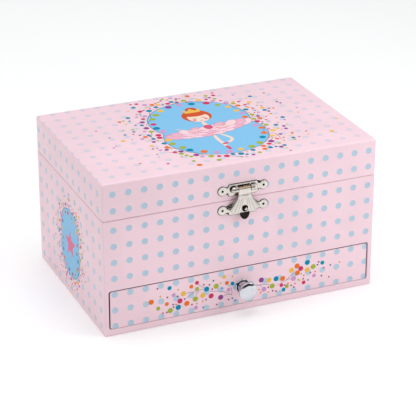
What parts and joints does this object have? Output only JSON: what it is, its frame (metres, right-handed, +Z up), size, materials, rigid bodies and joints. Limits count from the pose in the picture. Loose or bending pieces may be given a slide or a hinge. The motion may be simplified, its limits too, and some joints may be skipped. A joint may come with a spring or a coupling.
{
  "type": "ballerina jewellery box",
  "caption": "Musical jewellery box with a clasped hinged lid, mirror, tray, ring rolls, pull-out drawer and a dancer turned by a wind-up movement.",
  "frame": {"origin": "centre of the base, on the surface the box stands on", "axes": "+X to the right along the width, -Y to the front with the drawer, +Z up"},
  "size_m": [0.24, 0.193, 0.133],
  "materials": {
    "printed_paper": "matt printed paper over board",
    "plain_board": "bare fibreboard",
    "inner_paper": "matt paper over board",
    "lining": "short flock",
    "roll_fabric": "velvet over foam",
    "tulle": "stiff net",
    "mirror_glass": "silvered glass",
    "nickel": "pale nickel plate",
    "brass": "satin",
    "chrome": "polished",
    "steel": "satin",
    "zinc": "die-cast",
    "figure_plastic": "painted moulding",
    "governor_plastic": "moulded"
  },
  "bodies": {
    "case": {"front_panel": "printed_paper", "front_rail": "printed_paper", "left_side": "printed_paper", "right_side": "printed_paper", "back_panel": "printed_paper", "bottom_panel": "plain_board", "drawer_runners": "plain_board", "deck": "plain_board", "tray_lining": "lining", "tray_dividers": "inner_paper", "ring_rolls": "roll_fabric", "stage_top": "inner_paper", "stage_walls": "inner_paper", "spindle_bush": "brass", "bedplate": "zinc", "bedplate_screws": "steel", "spring_barrel": "zinc", "mainspring": "steel", "comb": "steel", "comb_screws": "brass", "governor_bracket": "zinc", "body_hinge_leaves": "nickel", "hinge_pins": "nickel", "body_hinge_nails": "nickel", "catch_plate": "nickel", "catch_nails": "nickel"},
    "lid": {"lid_top": "printed_paper", "lid_front": "printed_paper", "lid_back": "printed_paper", "lid_left": "printed_paper", "lid_right": "printed_paper", "lid_lining": "lining", "mirror": "mirror_glass", "lid_striker": "plain_board", "lid_hinge_leaves": "nickel", "lid_hinge_nails": "nickel", "clasp_plate": "nickel", "clasp_pin": "brass", "clasp_nails": "nickel"},
    "hasp": {"hasp": "nickel", "hasp_rivet": "nickel"},
    "drawer": {"drawer_front": "printed_paper", "drawer_sides": "inner_paper", "drawer_back": "inner_paper", "drawer_bottom": "plain_board", "drawer_lining": "lining", "knob": "chrome", "knob_screw": "steel"},
    "key": {"winding_key": "brass", "winding_arbor": "steel", "crown_wheel": "brass"},
    "cylinder": {"pin_cylinder": "brass", "spindle": "steel", "turntable": "figure_plastic", "dancer_spring": "steel", "dancer": "figure_plastic", "tutu": "tulle"},
    "governor": {"governor_fan": "governor_plastic"},
    "stop_rod": {"stop_rod": "steel"}
  },
  "joints": [
    {"name": "lid_hinge", "type": "hinge", "parent": "case", "child": "lid", "pos_m": [0, 0.0817, 0.1012], "axis": [-1, 0, 0], "range_deg": [0, 100]},
    {"name": "hasp_pivot", "type": "hinge", "parent": "lid", "child": "hasp", "pos_m": [0, -0.083, 0.1108], "axis": [-1, 0, 0], "range_deg": [0, 120]},
    {"name": "drawer_slide", "type": "slide", "parent": "case", "child": "drawer", "axis": [0, -1, 0], "range_m": [0, 0.115]},
    {"name": "key_turn", "type": "hinge", "parent": "case", "child": "key", "pos_m": [0, 0.074, 0.0567], "axis": [0, 1, 0], "continuous": true},
    {"name": "dancer_spin", "type": "hinge", "parent": "case", "child": "cylinder", "pos_m": [0, 0.0538, 0.0435], "axis": [0, 0, 1], "continuous": true},
    {"name": "governor_spin", "type": "hinge", "parent": "case", "child": "governor", "pos_m": [-0.012, 0.0538, 0.0435], "axis": [0, 0, 1], "continuous": true},
    {"name": "stop_rod_slide", "type": "slide", "parent": "case", "child": "stop_rod", "axis": [0, 0, 1], "range_m": [0, 0.003]}
  ],
  "couplings": [
    {"joint": "dancer_spin", "follows": "key_turn", "ratio": -1.125},
    {"joint": "governor_spin", "follows": "key_turn", "ratio": 2.25},
    {"joint": "stop_rod_slide", "follows": "lid_hinge", "m_per_rad": 0.0017}
  ]
}
